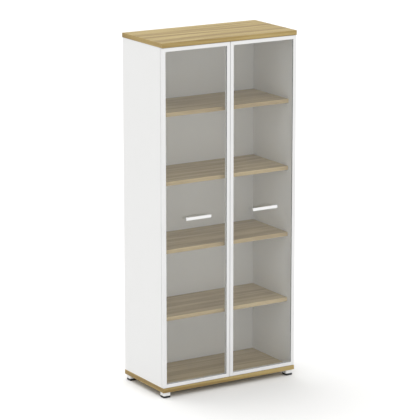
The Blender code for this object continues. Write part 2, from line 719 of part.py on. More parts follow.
def make_striker(name, sign):
    bm = prism_bmesh(rounded_oblong(STRIKER_WIDTH, STRIKER_HEIGHT, STRIKER_CORNER), -STRIKER_THICKNESS, 0)
    spot = Vector((sign * (MEETING_GAP / 2 + STRIKER_INSET + STRIKER_WIDTH / 2), DOOR_BACK + SEAT_GAP,
                   DOOR_TOP - STRIKER_INSET - STRIKER_HEIGHT / 2))
    bmesh.ops.transform(bm, matrix=Matrix.Translation(spot) @ Matrix.Rotation(math.pi / 2, 4, "X"),
                        verts=bm.verts)
    striker = to_object(name, bm)
    hole = rod("hole_" + name, STRIKER_HOLE_RADIUS, spot - Vector((0, OVERRUN, 0)),
               spot + Vector((0, STRIKER_THICKNESS + OVERRUN, 0)))
    boolean(striker, hole, "DIFFERENCE")
    coat(striker, ZINC)
    return striker


def make_door(side, sign):
    members = door_members(sign)
    middle_x = sign * (SIDE_OUTER - DOOR_WIDTH / 2)
    middle_z = (DOOR_BOTTOM + DOOR_TOP) / 2
    spots = [(middle_x + side_way * HANDLE_CENTRES / 2, middle_z) for side_way in (-1, 1)]
    prefix = f"door_{side}_"
    pieces = [
        make_stile(prefix + "hinge_stile", members["hinge_stile"], HINGE_CORNER_RADIUS),
        make_stile(prefix + "meeting_stile", members["meeting_stile"], FRAME_ARRIS),
        make_rail(prefix + "top_rail", members["top_rail"]),
        make_rail(prefix + "bottom_rail", members["bottom_rail"]),
        make_pivot(prefix + "top_pivot", sign, DOOR_TOP, 1),
        make_pivot(prefix + "bottom_pivot", sign, DOOR_BOTTOM, -1),
        make_glass(prefix + "glass", sign, spots),
        make_gasket(prefix + "gasket", sign),
        make_handle(prefix + "handle", spots),
        make_striker(prefix + "striker", sign),
    ]
    hang_on(pivot_empty(prefix + "axis", (sign * PIVOT_X, PIVOT_Y, DOOR_BOTTOM)), pieces)


def make_catch():
    """Double magnetic catch under the top panel, with four pole strips facing the strikers."""
    face = DOOR_BACK + STRIKER_THICKNESS + 2 * SEAT_GAP
    top = BODY_TOP - SEAT_GAP
    half = CATCH_WIDTH / 2
    catch = block("magnetic_catch", (-half, face + POLE_STAND, top - CATCH_HEIGHT),
                  (half, face + POLE_STAND + CATCH_DEPTH, top), CATCH_ARRIS)
    middle = DOOR_TOP - STRIKER_INSET - STRIKER_HEIGHT / 2
    near = MEETING_GAP / 2 + STRIKER_INSET
    strips = []
    for sign in (-1, 1):
        for offset in (-POLE_SPREAD / 2, POLE_SPREAD / 2):
            xs = sorted((sign * near, sign * (near + STRIKER_WIDTH)))
            strips.append(block("pole", (xs[0], face, middle + offset - POLE_HEIGHT / 2),
                                (xs[1], face + POLE_STAND + POLE_HEIGHT, middle + offset + POLE_HEIGHT / 2)))
    boolean(catch, combine("catch_poles", strips), "UNION")
    coat(catch, GREY_PLASTIC)


def sleeve_mesh():
    """Square sleeve with an open foot, a plate under the base panel and two screws fused to it."""
    top = FOOT_HEIGHT - SEAT_GAP
    rim = PAD_HEIGHT + SEAT_GAP
    bm = prism_bmesh(rounded_square(FOOT_SIZE, FOOT_CORNER), rim, top)
    lower = [edge for edge in bm.edges if max(vert.co.z for vert in edge.verts) < (rim + top) / 2]
    ease(bm, lower, SLEEVE_ARRIS)
    sleeve = to_object("sleeve", bm)
    hollow = prism("sleeve_hollow", rounded_square(FOOT_SIZE - 2 * SLEEVE_WALL, FOOT_CORNER - SLEEVE_WALL),
                   rim - OVERRUN, top - SLEEVE_PLATE)
    way = rod("screw_way", LEVEL_SCREW_RADIUS + SEAT_GAP, (0, 0, rim), (0, 0, top + OVERRUN), ROUND_SIDES)
    spots = [(sign * FIXING_SPREAD, -sign * FIXING_SPREAD) for sign in (-1, 1)]
    screws = [rod("fixing", FIXING_RADIUS, (*spot, top - SLEEVE_PLATE / 2),
                  (*spot, FOOT_HEIGHT + FIXING_REACH)) for spot in spots]
    boolean(sleeve, hollow, "DIFFERENCE")
    boolean(sleeve, way, "DIFFERENCE")
    boolean(sleeve, combine("fixings", screws), "UNION")
    return baked(sleeve)


def pad_mesh():
    """Black foot: a rounded shoe and a hollow plug with a nut boss, which slides in the sleeve."""
    bm = prism_bmesh(rounded_square(FOOT_SIZE, FOOT_CORNER), 0, PAD_HEIGHT)
    lower = [edge for edge in bm.edges if max(vert.co.z for vert in edge.verts) == 0]
    ease(bm, lower, PAD_EDGE)
    pad = to_object("pad", bm)
    plug_top = FOOT_HEIGHT - SEAT_GAP - SLEEVE_PLATE - PAD_TOP_GAP
    plug_size = FOOT_SIZE - 2 * SLEEVE_WALL - 2 * SEAT_GAP
    plug = prism("plug", rounded_square(plug_size, FOOT_CORNER - SLEEVE_WALL), PAD_EDGE, plug_top)
    pocket = prism("pocket", rounded_square(plug_size - 2 * PAD_WALL, FOOT_CORNER - SLEEVE_WALL - PAD_WALL),
                   PAD_POCKET_FLOOR, plug_top + OVERRUN)
    boss = rod("boss", PAD_BOSS_RADIUS, (0, 0, PAD_FLOOR), (0, 0, plug_top), ROUND_SIDES)
    bore = rod("bore", LEVEL_SCREW_RADIUS + SEAT_GAP, (0, 0, PAD_FLOOR), (0, 0, plug_top + OVERRUN),
               ROUND_SIDES)
    boolean(pad, plug, "UNION")
    boolean(pad, pocket, "DIFFERENCE")
    boolean(pad, boss, "UNION")
    boolean(pad, bore, "DIFFERENCE")
    return baked(pad)


def level_screw_mesh():
    """Levelling screw, held in the base panel by its collar; its shank drives the pad's nut."""
    under = FOOT_HEIGHT + SEAT_GAP
    over = under + COLLAR_HEIGHT
    foot = PAD_FLOOR + LEVEL_SCREW_FOOT_GAP
    screw = turned("screw", [(0, foot), (LEVEL_SCREW_RADIUS, foot), (LEVEL_SCREW_RADIUS, under),
                             (COLLAR_RADIUS, under), (COLLAR_RADIUS, over), (0, over)])
    socket = rod("key_socket", KEY_FLATS / math.sqrt(3), (0, 0, over - KEY_DEPTH), (0, 0, over + OVERRUN), 6)
    boolean(screw, socket, "DIFFERENCE")
    return baked(screw)


def make_feet():
    sleeve = sleeve_mesh()
    pad = pad_mesh()
    screw = level_screw_mesh()
    for side, end, x, y in corners_of_feet():
        copy_of(sleeve, f"foot_sleeve_{end}_{side}", (x, y, 0), WHITE_METAL)
        copy_of(pad, f"foot_pad_{end}_{side}", (x, y, 0), BLACK_PLASTIC)
        copy_of(screw, f"foot_screw_{end}_{side}", (x, y, 0), ZINC)


clear_scene()
make_top_panel()
make_base_panel()
for side_name, side_sign in (("left", -1), ("right", 1)):
    make_side_panel(side_name, side_sign)
make_back_panel()
make_shelves()
make_shelf_pins()
make_bushes()
for side_name, side_sign in (("left", -1), ("right", 1)):
    make_door(side_name, side_sign)
make_catch()
make_feet()
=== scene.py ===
# %% [markdown]
# # A storage cabinet with framed glass doors
# The cabinet is an oak-faced top and base, white side and back boards, four shelves and two doors
# of clear glass in thin white frames, on four levelling feet. Its solids come from a CAD model that
# keeps every board and every bar apart. This lesson dresses those solids: each one that shows gets
# a finish made of nodes, and the small turned and moulded pieces are made again with finer edges
# than CAD needs. All lengths are metres, +Z is up and the doors face -Y.

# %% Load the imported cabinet
import math

import bmesh
import bpy
from mathutils import Matrix, Vector


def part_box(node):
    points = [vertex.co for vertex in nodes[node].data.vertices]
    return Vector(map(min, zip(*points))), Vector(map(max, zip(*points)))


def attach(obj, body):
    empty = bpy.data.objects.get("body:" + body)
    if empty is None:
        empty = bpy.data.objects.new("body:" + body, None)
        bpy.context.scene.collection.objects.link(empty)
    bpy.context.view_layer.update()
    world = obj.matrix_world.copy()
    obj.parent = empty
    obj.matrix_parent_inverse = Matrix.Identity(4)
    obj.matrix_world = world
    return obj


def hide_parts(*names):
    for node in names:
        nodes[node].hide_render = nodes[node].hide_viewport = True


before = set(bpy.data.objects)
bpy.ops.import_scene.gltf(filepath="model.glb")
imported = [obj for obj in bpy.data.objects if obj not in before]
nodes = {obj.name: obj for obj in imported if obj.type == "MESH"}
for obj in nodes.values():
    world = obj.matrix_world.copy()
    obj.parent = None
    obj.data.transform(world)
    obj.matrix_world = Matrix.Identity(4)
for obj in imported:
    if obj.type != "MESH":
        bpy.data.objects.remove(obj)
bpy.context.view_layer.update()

# %% [markdown]
# ## Shader sums that read like sums
# A pattern such as grain is arithmetic on noise, and arithmetic is hard to read as a heap of Math
# nodes. The class below wraps a socket, so that `1 - mask` or `0.4 * broad + fine` adds the Math
# nodes by itself. The reflected operators matter: without them a plain number could only stand on
# the right. Comparisons give 1 or 0, which is what a mask needs.

# %% A socket that can stand in a sum
class Wire:
    """One output socket of a node, and the bench that the node was made on."""

    def __init__(self, bench, socket):
        self.bench = bench
        self.socket = socket

    def __add__(self, other):
        return self.bench.sum_of("ADD", self, other)

    def __sub__(self, other):
        return self.bench.sum_of("SUBTRACT", self, other)

    def __rsub__(self, other):
        return self.bench.sum_of("SUBTRACT", other, self)

    def __mul__(self, other):
        return self.bench.sum_of("MULTIPLY", self, other)

    def __gt__(self, other):
        return self.bench.sum_of("GREATER_THAN", self, other)

    def __lt__(self, other):
        return self.bench.sum_of("LESS_THAN", self, other)

    __radd__ = __add__
    __rmul__ = __mul__


print("a wire can stand in a sum, a product or a comparison")

# %% [markdown]
# ## One method for every other node
# Nodes could be added and linked one by one, but then the wiring drowns the idea. On a bench, one
# method takes the kind of node, then its settings, then a value or a link for each socket. Settings
# come first because some of them, such as the data type of a Mix node, change which of its sockets
# are in use. A material and the world are both made on such a bench.

# %% A bench for nodes
class Bench:
    """Where the nodes of one material, or of the world, are put together."""

    def __init__(self, owner):
        owner.use_nodes = True
        self.tree = owner.node_tree

    def node(self, kind, settings=None, sockets=None, outlet=0):
        """Add a node and return the wire from one of its outlets."""
        made = self.tree.nodes.new(kind)
        for key, value in (settings or {}).items():
            setattr(made, key, value)
        for key, value in (sockets or {}).items():
            self.put(made.inputs[key], value)
        return Wire(self, made.outputs[outlet])

    def put(self, socket, value):
        """Link a wire to a socket, or set a plain value on it."""
        if isinstance(value, Wire):
            self.tree.links.new(value.socket, socket)
        else:
            socket.default_value = value

    def sum_of(self, operation, first, second):
        return self.node("ShaderNodeMath", {"operation": operation}, {0: first, 1: second})


def rgb(red, green, blue):
    return (red, green, blue, 1.0)


print("bench ready")

# %% [markdown]
# ## The moves that finishes repeat
# A coat is a bench for one material. Its small methods name the few moves that every finish needs:
# a stretched noise, a soft step, a mix of two colours, a relief. Object coordinates place every
# pattern, so it stays on its piece when a door swings.

# %% A coat of nodes
class Coat(Bench):
    """A material being made for one finish."""

    def __init__(self, name):
        self.material = bpy.data.materials.new(name)
        super().__init__(self.material)
        self.shader = self.tree.nodes["Principled BSDF"]
        self.place = self.node("ShaderNodeTexCoord", outlet="Object")

    def parts(self, vector):
        split = self.node("ShaderNodeSeparateXYZ", sockets={0: vector}).socket.node
        return [Wire(self, outlet) for outlet in split.outputs]

    def joined(self, x, y, z):
        return self.node("ShaderNodeCombineXYZ", sockets={0: x, 1: y, 2: z})

    def stretched(self, vector, scale):
        return self.node("ShaderNodeMapping", sockets={"Vector": vector, "Scale": scale})

    def noise(self, vector, scale=1.0, detail=2.0, roughness=0.5):
        sockets = {"Vector": vector, "Scale": scale, "Detail": detail, "Roughness": roughness}
        return self.node("ShaderNodeTexNoise", sockets=sockets)

    def step(self, value, low, high):
        """0 below low, 1 above high and a soft slope between."""
        return self.node("ShaderNodeMapRange", {"interpolation_type": "SMOOTHSTEP"},
                         {"Value": value, "From Min": low, "From Max": high})

    def either(self, factor, one, two, blend="MIX"):
        """Two colours mixed by a factor."""
        return self.node("ShaderNodeMix", {"data_type": "RGBA", "blend_type": blend},
                         {0: factor, 6: one, 7: two}, outlet=2)

    def swayed(self, factor, one, two):
        """Two vectors mixed by a factor."""
        return self.node("ShaderNodeMix", {"data_type": "VECTOR"}, {0: factor, 4: one, 5: two},
                         outlet=1)

    def relief(self, height, depth):
        """Raise the surface by a height pattern, depth being its full relief."""
        sockets = {"Height": height, "Distance": depth, "Strength": 1.0}
        self.put(self.shader.inputs["Normal"], self.node("ShaderNodeBump", sockets=sockets))

    def finish(self, **sockets):
        """Fill sockets of the shader, a _ standing for each space in their names."""
        for key, value in sockets.items():
            self.put(self.shader.inputs[key.replace("_", " ")], value)
        return self.material


def dress(name, finish):
    """Give a CAD solid one finish."""
    nodes[name].data.materials.clear()
    nodes[name].data.materials.append(finish)


print("coat ready")

# %% [markdown]
# ## Oak decor and its edge band
# Top, base and shelves are chipboard faced with a printed oak decor. On a real board the pores are
# short dark dashes, the early and late wood makes streaks of some millimetres, and over those run
# soft light and dark bands two or three fingers wide. All of it lies along the board. A picture of
# oak could be wrapped round the board, but four noises do without one, each stretched far along X,
# and a slow fifth one bends them so that no line is ruled straight. The cut edges carry a plastic
# band under a millimetre thick. It is a different print from the faces: a little warmer and
# straighter, and on the short edges its grain turns the corner with it. A mask finds the band by its
# distance from the board's own edges, so its seam shows on the face too. On the shelves and the
# base's faces, the boards inside the cabinet, the print is mixed a little towards its middle tone
# and multiplied paler and bluer: painted light, standing in for light that the inside lacks behind
# the glass. Only the base's band keeps the top's colour.

# %% Oak decor for one board
BAND = 0.0008
OAK_DARK = rgb(0.245, 0.168, 0.062)
OAK_MIDDLE = rgb(0.352, 0.259, 0.102)
OAK_LIGHT = rgb(0.432, 0.332, 0.142)
BAND_TINT = rgb(1.08, 1.05, 1.00)
INNER_PAINTED_LIGHT = rgb(1.32, 1.40, 1.95)
INNER_CALM = 0.3
DRIFT_PER_METRE = (1.3, 5.0, 5.0)
BANDS_PER_METRE = (1.0, 30.0, 30.0)
STREAKS_PER_METRE = (2.6, 90.0, 90.0)
FIBRES_PER_METRE = (11.0, 620.0, 620.0)
PORES_PER_METRE = (34.0, 1500.0, 1500.0)
WANDER = 0.05
BAND_STRAIGHTNESS = 0.8
PORE_DARKNESS = 0.45
OAK_RELIEF = 0.00006


def oak_finish(board):
    low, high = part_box(board)
    coat = Coat("oak_decor_" + board)
    x, y, z = coat.parts(coat.place)
    end_band = (x < low.x + BAND) + (x > high.x - BAND)
    long_band = (y < low.y + BAND) + (y > high.y - BAND)
    band = coat.step(end_band + long_band, 0.2, 0.8)
    along = coat.swayed(end_band, coat.place, coat.joined(y, x, z))
    drift = coat.noise(coat.stretched(along, DRIFT_PER_METRE), detail=1.0)
    grain_x, grain_y, grain_z = coat.parts(along)
    bend = (drift - 0.5) * WANDER * (1 - band * BAND_STRAIGHTNESS)
    grain = coat.joined(grain_x, grain_y + bend, grain_z + bend)
    broad = coat.noise(coat.stretched(grain, BANDS_PER_METRE), detail=2.0)
    streak = coat.noise(coat.stretched(grain, STREAKS_PER_METRE), detail=3.0, roughness=0.6)
    fine = coat.noise(coat.stretched(grain, FIBRES_PER_METRE), detail=2.0)
    pore = coat.step(coat.noise(coat.stretched(grain, PORES_PER_METRE), detail=1.0), 0.60, 0.70)
    tone = broad * 0.58 + streak * 0.32 + fine * 0.10
    colour = coat.either(coat.step(tone, 0.41, 0.50), OAK_DARK, OAK_MIDDLE)
    colour = coat.either(coat.step(tone, 0.50, 0.58), colour, OAK_LIGHT)
    colour = coat.either(pore * PORE_DARKNESS, colour, OAK_DARK)
    colour = coat.either(band, colour, BAND_TINT, "MULTIPLY")
    inner = {"top_panel": 0.0, "base_panel": 1 - band}.get(board, 1.0)
    # Faces inside the cabinet: print calmed towards its middle tone, then painted light multiplied
    # on.
    colour = coat.either(inner * INNER_CALM, colour, OAK_MIDDLE)
    colour = coat.either(inner, colour, INNER_PAINTED_LIGHT, "MULTIPLY")
    coat.relief(fine * 0.5 + streak * 0.3 - pore * 0.8, OAK_RELIEF)
    return coat.finish(Base_Color=colour, Roughness=0.50 + fine * 0.12 + pore * 0.1,
                       Specular_IOR_Level=0.3)


oak_boards = ["top_panel", "base_panel", "shelf_1", "shelf_2_fixed", "shelf_3", "shelf_4"]
for board in oak_boards:
    dress(board, oak_finish(board))
print("oak boards:", len(oak_boards))

# %% [markdown]
# ## White board
# Sides and back are faced with white melamine. It looks flat until light skims it: then a pearl
# texture shows, bumps about a millimetre across and a few hundredths deep, and the sheet is never
# quite one white. A band closes the front and back edges, and its seam is a hairline. A plain
# colour would read as paper, so the bumps go to the Normal socket and the mottle to colour and
# roughness. The bumps are far too many for real geometry, and too shallow to change an outline.

# %% White melamine for one board
WHITE_FACE = rgb(0.800, 0.800, 0.792)
WHITE_SHADE = rgb(0.797, 0.797, 0.788)
SEAM_GREY = rgb(0.55, 0.54, 0.52)
SEAM = 0.00015
MOTTLE_PER_METRE = 7.0
PEARLS_PER_METRE = 900.0
PEARL_RELIEF = 0.00004


def melamine_finish(board):
    low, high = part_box(board)
    coat = Coat("white_melamine_" + board)
    depth = coat.parts(coat.place)[1]
    mottle = coat.noise(coat.place, scale=MOTTLE_PER_METRE, detail=3.0)
    pearl = coat.noise(coat.place, scale=PEARLS_PER_METRE, detail=2.0, roughness=0.4)
    front_seam = (depth > low.y + BAND - SEAM) * (depth < low.y + BAND)
    back_seam = (depth > high.y - BAND) * (depth < high.y - BAND + SEAM)
    seam = front_seam + back_seam
    colour = coat.either(coat.step(mottle, 0.35, 0.65), WHITE_FACE, WHITE_SHADE)
    colour = coat.either(seam * 0.5, colour, SEAM_GREY)
    coat.relief(pearl - seam, PEARL_RELIEF)
    return coat.finish(Base_Color=colour, Roughness=0.40 + mottle * 0.08)


white_boards = ["side_panel_left", "side_panel_right", "back_panel"]
for board in white_boards:
    dress(board, melamine_finish(board))
print("white boards:", len(white_boards))

# %% [markdown]
# ## Powder coat, lacquer and paint
# The door frames are aluminium bars with white powder baked on. Powder melts into a skin with the
# dimples of orange peel, about two to the millimetre. The handles are sprayed with satin lacquer
# instead, which flows out smoother and shines a little more, and the feet's sleeves with a paint
# between the two. All three are one recipe at different sizes: dimples from a noise, and a colour
# and a roughness that drift slowly along the bar.

# %% Three sprayed whites
PEEL_SHADE = 0.975
PEEL_DRIFT_PER_METRE = 9.0


def sprayed_finish(name, white, peels_per_metre, relief, roughness):
    coat = Coat(name)
    peel = coat.noise(coat.place, scale=peels_per_metre, detail=2.0, roughness=0.45)
    drift = coat.noise(coat.place, scale=PEEL_DRIFT_PER_METRE, detail=2.0)
    shade = rgb(*(part * PEEL_SHADE for part in white))
    colour = coat.either(coat.step(drift, 0.3, 0.7), rgb(*white), shade)
    coat.relief(peel, relief)
    return coat.finish(Base_Color=colour, Roughness=roughness + drift * 0.08)


powder_coat = sprayed_finish("white_powder_coat", white=(0.800, 0.800, 0.795),
                             peels_per_metre=1800.0, relief=0.00003, roughness=0.34)
lacquer = sprayed_finish("white_satin_lacquer", white=(0.880, 0.880, 0.875),
                         peels_per_metre=700.0, relief=0.00001, roughness=0.24)
sleeve_paint = sprayed_finish("white_sleeve_paint", white=(0.850, 0.850, 0.845),
                              peels_per_metre=1200.0, relief=0.00002, roughness=0.30)
print("sprayed finishes: 3")

# %% [markdown]
# ## Glass
# The panes are 4 mm float glass, clear with the faint green that iron gives it. They look grey
# because the inside of the cabinet gets its light through the panes alone, and because a share of
# the white surroundings bounces off them, more of it the flatter the view. A Transparent shader
# carries the tint, and a Glossy one the bounce, mixed by a Fresnel node. A Glass shader would bend
# the light too, but then lamps reach the inside by caustics alone, which render dark and grainy.
# The pane is a closed slab, so a ray meets two faces. The bounce is kept to the faces that look at
# the ray, with both faces' share in it, because Fresnel on the way out turns the pane into a mirror
# at angles where real glass is still clear. The index is a little above float glass's 1.52, for a
# stronger sheen, and fine wipe marks change the share by a little.

# %% The pane's two shaders
GLASS_TINT = rgb(0.985, 0.990, 0.985)
GLASS_INDEX = 1.6
GLASS_BOUNCE = 2.0
GLASS_POLISH = 0.03
WIPES_PER_METRE = (14.0, 14.0, 3.0)


def glass_finish():
    coat = Coat("clear_glass")
    coat.tree.nodes.remove(coat.shader)
    clear = coat.node("ShaderNodeBsdfTransparent", sockets={"Color": GLASS_TINT})
    bright = coat.node("ShaderNodeBsdfGlossy", sockets={"Roughness": GLASS_POLISH})
    outward = coat.node("ShaderNodeNewGeometry", outlet="Backfacing")
    share = coat.node("ShaderNodeFresnel", sockets={"IOR": GLASS_INDEX})
    wiped = coat.noise(coat.stretched(coat.place, WIPES_PER_METRE), detail=3.0)
    bounce = share * GLASS_BOUNCE * (1 - outward) * (0.96 + wiped * 0.08)
    pane = coat.node("ShaderNodeMixShader", sockets={0: bounce, 1: clear, 2: bright})
    coat.put(coat.tree.nodes["Material Output"].inputs["Surface"], pane)
    return coat.material


clear_glass = glass_finish()
print("glass tint:", GLASS_TINT[:3])

# %% [markdown]
# ## Fittings: rubber, plastics and zinc
# The seal behind the pane is matt rubber, the feet's shoes are black plastic with a spark-eroded
# grain, and bushes and catch are grey plastic. Screws, pins, pivots and striker plates are zinc
# plated steel: metallic, dull and cloudy. The plating forms crystals, and Voronoi cells look like
# them, while a noise in the roughness gives the cloudiness.

# %% Moulded and plated finishes
CLOUDS_PER_METRE = 60.0
CRYSTALS_PER_METRE = 900.0
ZINC_CLOUDS_PER_METRE = 180.0
ZINC_BRIGHT = rgb(0.62, 0.63, 0.66)
ZINC_DULL = rgb(0.50, 0.51, 0.52)
ZINC_RELIEF = 0.00001


def moulded_finish(name, colour, grains_per_metre, relief, roughness):
    coat = Coat(name)
    grain = coat.noise(coat.place, scale=grains_per_metre, detail=3.0)
    cloud = coat.noise(coat.place, scale=CLOUDS_PER_METRE, detail=2.0)
    paler = rgb(*(min(1.0, part * 1.25 + 0.004) for part in colour))
    shade = coat.either(coat.step(cloud, 0.35, 0.7), rgb(*colour), paler)
    coat.relief(grain, relief)
    return coat.finish(Base_Color=shade, Roughness=roughness + grain * 0.12)


def zinc_finish():
    coat = Coat("zinc_plating")
    crystal = coat.node("ShaderNodeTexVoronoi", {"feature": "SMOOTH_F1"},
                        {"Vector": coat.place, "Scale": CRYSTALS_PER_METRE})
    cloud = coat.noise(coat.place, scale=ZINC_CLOUDS_PER_METRE, detail=3.0)
    colour = coat.either(coat.step(crystal, 0.1, 0.6), ZINC_BRIGHT, ZINC_DULL)
    coat.relief(crystal, ZINC_RELIEF)
    return coat.finish(Base_Color=colour, Metallic=1.0, Roughness=0.26 + cloud * 0.22)


rubber = moulded_finish("seal_rubber", colour=(0.020, 0.020, 0.021),
                        grains_per_metre=1500.0, relief=0.00004, roughness=0.62)
black_plastic = moulded_finish("black_foot_plastic", colour=(0.010, 0.010, 0.011),
                               grains_per_metre=1100.0, relief=0.00005, roughness=0.42)
grey_plastic = moulded_finish("grey_fitting_plastic", colour=(0.42, 0.42, 0.43),
                              grains_per_metre=1300.0, relief=0.00003, roughness=0.40)
zinc = zinc_finish()
print("fitting finishes: 4")

# %% [markdown]
# ## Coating the CAD solids
# The frame bars, panes, seals, pivots, striker plates and levelling screws already have their real
# shape in CAD, so they keep it and only take a finish. They could be listed one by one, but the end
# of a node's name says what it is, and so does the start of a levelling screw's.

# %% Finishes by name
CAD_FINISHES = {
    "_stile": powder_coat,
    "_rail": powder_coat,
    "_glass": clear_glass,
    "_gasket": rubber,
    "_pivot": zinc,
    "_striker": zinc,
}

coated = 0
for name in nodes:
    for ending, finish in CAD_FINISHES.items():
        if name.endswith(ending):
            dress(name, finish)
            coated += 1
    if name.startswith("foot_screw_"):
        dress(name, zinc)
        coated += 1
print("CAD solids coated by name:", coated)

# %% [markdown]
# ## From bmesh to a piece
# The small pieces are modelled again with bmesh operators. Each one ends the same way: doubles
# merged, normals turned outwards, smooth shading with creases kept sharp, a finish, and a ride on
# the body that carries it. Where a new piece stands for a CAD solid, that solid stays unseen.

# %% Finish a modelled piece
CREASE = math.radians(38)
DOUBLE = 0.000001


def set_down(name, bm, body, finish, stands_for=None):
    """Make the bmesh a piece of the cabinet and return how many faces it has."""
    bmesh.ops.remove_doubles(bm, verts=bm.verts, dist=DOUBLE)
    bmesh.ops.recalc_face_normals(bm, faces=bm.faces)
    mesh = bpy.data.meshes.new(name)
    bm.to_mesh(mesh)
    bm.free()
    mesh.shade_smooth()
    mesh.set_sharp_from_angle(angle=CREASE)
    mesh.materials.append(finish)
    piece = bpy.data.objects.new(name, mesh)
    bpy.context.scene.collection.objects.link(piece)
    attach(piece, body)
    if stands_for:
        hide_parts(stands_for)
    return len(mesh.polygons)


print("creases over", round(math.degrees(CREASE)), "degrees stay sharp")

# %% [markdown]
# ## Blocks, spun sections and how to find an edge
# Nearly every small piece is a block with broken edges or a section spun round an axis, as on a
# lathe. The helpers pick edges and faces by their height, which reads better than index numbers and
# still holds when a bevel has added more of them.

# %% Modelling helpers
SAME_HEIGHT = 0.00001


def at_height(vert, height):
    return abs(vert.co.z - height) < SAME_HEIGHT


def upright_edges(bm):
    return [edge for edge in bm.edges if not at_height(edge.verts[0], edge.verts[1].co.z)]


def rim_edges(bm, height):
    """The edges that lie all at one height."""
    return [edge for edge in bm.edges if all(at_height(vert, height) for vert in edge.verts)]


def face_at(bm, height):
    """The widest flat face at one height."""
    level = [face for face in bm.faces if all(at_height(vert, height) for vert in face.verts)]
    return max(level, key=lambda face: face.calc_area())


def slab(low, high):
    """A bmesh of one block between two corners."""
    bm = bmesh.new()
    bmesh.ops.create_cube(bm, size=1.0)
    bmesh.ops.scale(bm, vec=Vector(high) - Vector(low), verts=bm.verts)
    bmesh.ops.translate(bm, vec=(Vector(low) + Vector(high)) / 2, verts=bm.verts)
    return bm


def rounded(bm, edges, width, segments):
    bmesh.ops.bevel(bm, geom=edges, offset=width, offset_type="OFFSET", segments=segments,
                    profile=0.5, affect="EDGES", clamp_overlap=True, material=-1)


def spun(bm, centre, axis, points, steps):
    """Spin a section, drawn by its points, once round an axis through centre."""
    verts = [bm.verts.new(point) for point in points]
    edges = [bm.edges.new(pair) for pair in zip(verts, verts[1:])]
    bmesh.ops.spin(bm, geom=verts + edges, cent=centre, axis=axis, angle=math.tau, steps=steps,
                   use_merge=True)


def spun_in_depth(bm, centre, section, steps):
    """Spin a section of (radius, depth) pairs round the line through centre along Y."""
    points = [(centre.x + radius, depth, centre.z) for radius, depth in section]
    spun(bm, centre, (0, 1, 0), points, steps)


print("modelling helpers ready")

# %% [markdown]
# ## Bar handles
# Each door has one bar handle: a flat lacquered bar on two round posts, bolted through the pane at
# holes 128 mm apart. Seen from a little above, the posts hide behind the bar, so that it seems to
# float before the glass. The bar is a block whose edges are broken by a small bevel, because that
# is where it catches the light. A post is half a section spun round its axis: it flares a little
# where it meets the pane, on a thin black washer. From behind, a screw with a round head and a
# socket goes through the pane's hole and holds it.

# %% Bar, posts, washers and screws
BAR_DEPTH = 0.007
POST_CENTRES = 0.128
POST_RADIUS = 0.0045
POST_FLARE = 0.0004
HANDLE_EDGE = 0.0008
WASHER = 0.0005
SKIN = 0.0001
HEAD_RADIUS = 0.0045
HEAD_RISE = 0.0024
HEAD_SECTION = [(0.55, 1.0), (0.76, 0.80), (0.90, 0.46), (0.90, 0.22), (1.0, 0.18), (1.0, 0.0)]
SHANK_RADIUS = 0.0020
SOCKET_RADIUS = 0.0014
SOCKET_DEPTH = 0.0010


def screw_section(back, tip):
    """Half of a handle screw, its head on the pane's back and its shank as far as tip."""
    top = back + HEAD_RISE
    socket = [(0, top - SOCKET_DEPTH), (SOCKET_RADIUS, top - SOCKET_DEPTH), (SOCKET_RADIUS, top)]
    head = [(HEAD_RADIUS * out, back + HEAD_RISE * rise) for out, rise in HEAD_SECTION]
    return socket + head + [(SHANK_RADIUS, back), (SHANK_RADIUS, tip), (0, tip)]


def bar_handle(side):
    node = f"door_{side}_handle"
    low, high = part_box(node)
    pane_low, pane_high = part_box(f"door_{side}_glass")
    middle = (low + high) / 2
    front = pane_low.y - SKIN
    foot = front - WASHER
    root = low.y + BAR_DEPTH - HANDLE_EDGE
    post = [(0, root), (POST_RADIUS, root), (POST_RADIUS, foot - 5 * POST_FLARE),
            (POST_RADIUS + POST_FLARE / 2, foot - 2 * POST_FLARE), (POST_RADIUS + POST_FLARE, foot),
            (0, foot)]
    washer = [(0, foot), (POST_RADIUS, foot), (POST_RADIUS, front), (0, front)]
    screw = screw_section(pane_high.y + SKIN, pane_low.y)
    bar = slab(low, (high.x, low.y + BAR_DEPTH, high.z))
    rounded(bar, bar.edges[:], HANDLE_EDGE, segments=4)
    faces = 0
    for piece, bm, section, slot, finish, stands_for in (
            ("bar_handle", bar, post, "handle", lacquer, node),
            ("handle_screws", bmesh.new(), screw, "zinc", zinc, None),
            ("handle_washers", bmesh.new(), washer, "seal", rubber, None)):
        for sign in (-1, 1):
            centre = Vector((middle.x + sign * POST_CENTRES / 2, 0, middle.z))
            spun_in_depth(bm, centre, section, steps=36)
        faces += set_down(f"{piece}_{side}", bm, f"door_{side}", finish, stands_for)
    return faces


print("handle faces:", bar_handle("left"), bar_handle("right"))

# %% [markdown]
# ## Feet
# A foot is a white square sleeve under the base's corner and a black shoe that a screw moves up and
# down in it. Both are blocks with their upright edges rounded by the same radius. The sleeve's
# lower face is inset and pushed up, which makes its wall and its hollow in one move, while cutting
# one block from another often leaves stray faces. The shoe's upper face is inset and pulled up into
# the plug that slides in that hollow, and its lower face gets a shallow recess, so that the shoe
# stands on a rim as moulded feet do.

# %% Sleeve and shoe
CORNER = 0.008
CORNER_SEGMENTS = 10
WALL = 0.002
GAP = 0.0003
SLEEVE_ROOF = 0.0025
SLEEVE_EDGE = 0.0004
SHOE_EDGE = 0.002
SOLE_RIM = 0.003
SOLE_RECESS = 0.0008


def foot_sleeve(corner):
    node = "foot_sleeve_" + corner
    low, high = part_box(node)
    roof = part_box("base_panel")[0].z - GAP
    bm = slab(low, (high.x, high.y, roof))
    rounded(bm, upright_edges(bm), CORNER, CORNER_SEGMENTS)
    mouth = face_at(bm, low.z)
    bmesh.ops.inset_individual(bm, faces=[mouth], thickness=WALL)
    bmesh.ops.translate(bm, vec=(0, 0, roof - SLEEVE_ROOF - low.z), verts=mouth.verts)
    rounded(bm, rim_edges(bm, low.z), SLEEVE_EDGE, segments=2)
    return set_down("sleeve_" + corner, bm, "root", sleeve_paint, node)


